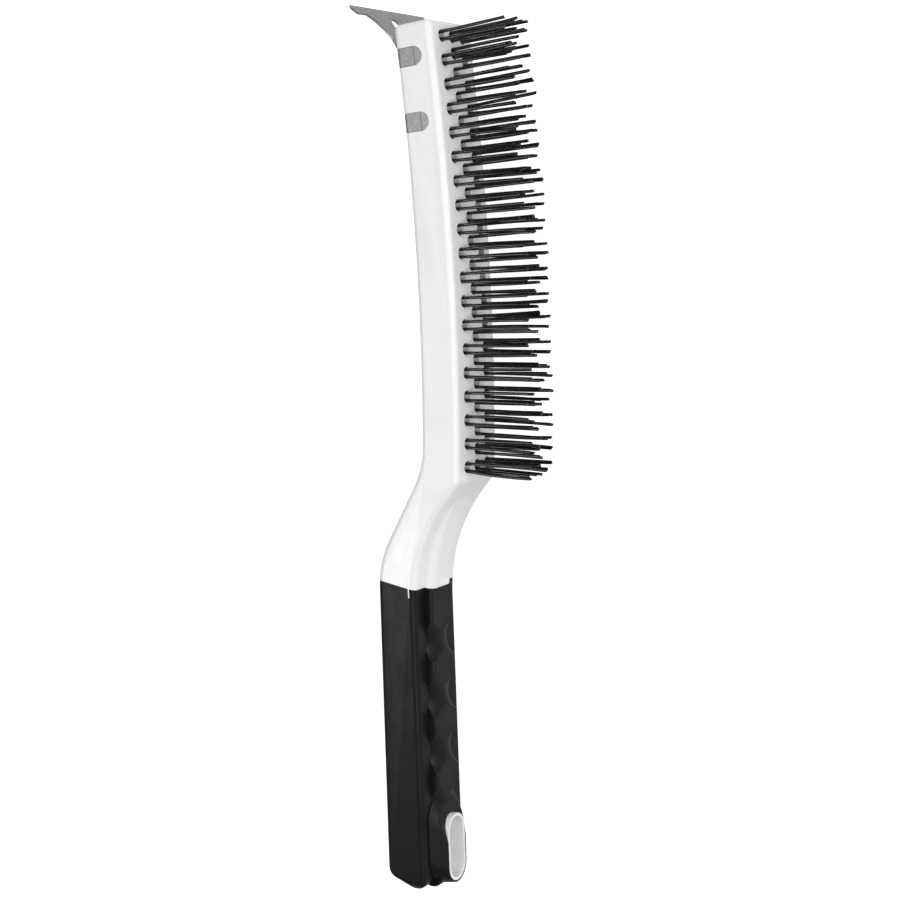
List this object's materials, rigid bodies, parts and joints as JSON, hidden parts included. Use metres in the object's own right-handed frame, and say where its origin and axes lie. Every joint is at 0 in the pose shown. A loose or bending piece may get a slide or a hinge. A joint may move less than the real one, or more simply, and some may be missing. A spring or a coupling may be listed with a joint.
{
  "type": "grill cleaning brush",
  "caption": "Long-handled grill brush with a crowned bristle head, a steel scraper blade clipped to its tip, and a soft ridged grip with a hang hole.",
  "frame": {"origin": "centre of the brush's box at its lowest point, where the lower corner of the scraper blade stands on the table", "axes": "+X along the brush towards the scraper, bristles point to -Y, back of the brush towards +Y, +Z across the width, up when the brush lies on its side"},
  "size_m": [0.3508, 0.076, 0.056],
  "materials": {
    "body_plastic": "satin white moulded plastic",
    "grip_rubber": "satin black soft rubber",
    "scraper_steel": "bright rolled stainless sheet",
    "filament": "glossy black filament",
    "staple_wire": "drawn flat wire"
  },
  "bodies": {
    "root": {"brush_body": "body_plastic", "grip_sleeve": "grip_rubber", "scraper": "scraper_steel", "bristle_tufts_01": "filament", "bristle_tufts_02": "filament", "bristle_tufts_03": "filament", "bristle_tufts_04": "filament", "bristle_tufts_05": "filament", "bristle_tufts_06": "filament", "bristle_tufts_07": "filament", "bristle_tufts_08": "filament", "bristle_tufts_09": "filament", "bristle_tufts_10": "filament", "bristle_tufts_11": "filament", "bristle_tufts_12": "filament", "bristle_tufts_13": "filament", "bristle_tufts_14": "filament", "bristle_tufts_15": "filament", "bristle_tufts_16": "filament", "bristle_tufts_17": "filament", "bristle_tufts_18": "filament", "bristle_tufts_19": "filament", "bristle_tufts_20": "filament", "tuft_staples_01": "staple_wire", "tuft_staples_02": "staple_wire", "tuft_staples_03": "staple_wire", "tuft_staples_04": "staple_wire", "tuft_staples_05": "staple_wire", "tuft_staples_06": "staple_wire", "tuft_staples_07": "staple_wire", "tuft_staples_08": "staple_wire", "tuft_staples_09": "staple_wire", "tuft_staples_10": "staple_wire", "tuft_staples_11": "staple_wire", "tuft_staples_12": "staple_wire", "tuft_staples_13": "staple_wire", "tuft_staples_14": "staple_wire", "tuft_staples_15": "staple_wire", "tuft_staples_16": "staple_wire", "tuft_staples_17": "staple_wire", "tuft_staples_18": "staple_wire", "tuft_staples_19": "staple_wire", "tuft_staples_20": "staple_wire"}
  },
  "joints": []
}
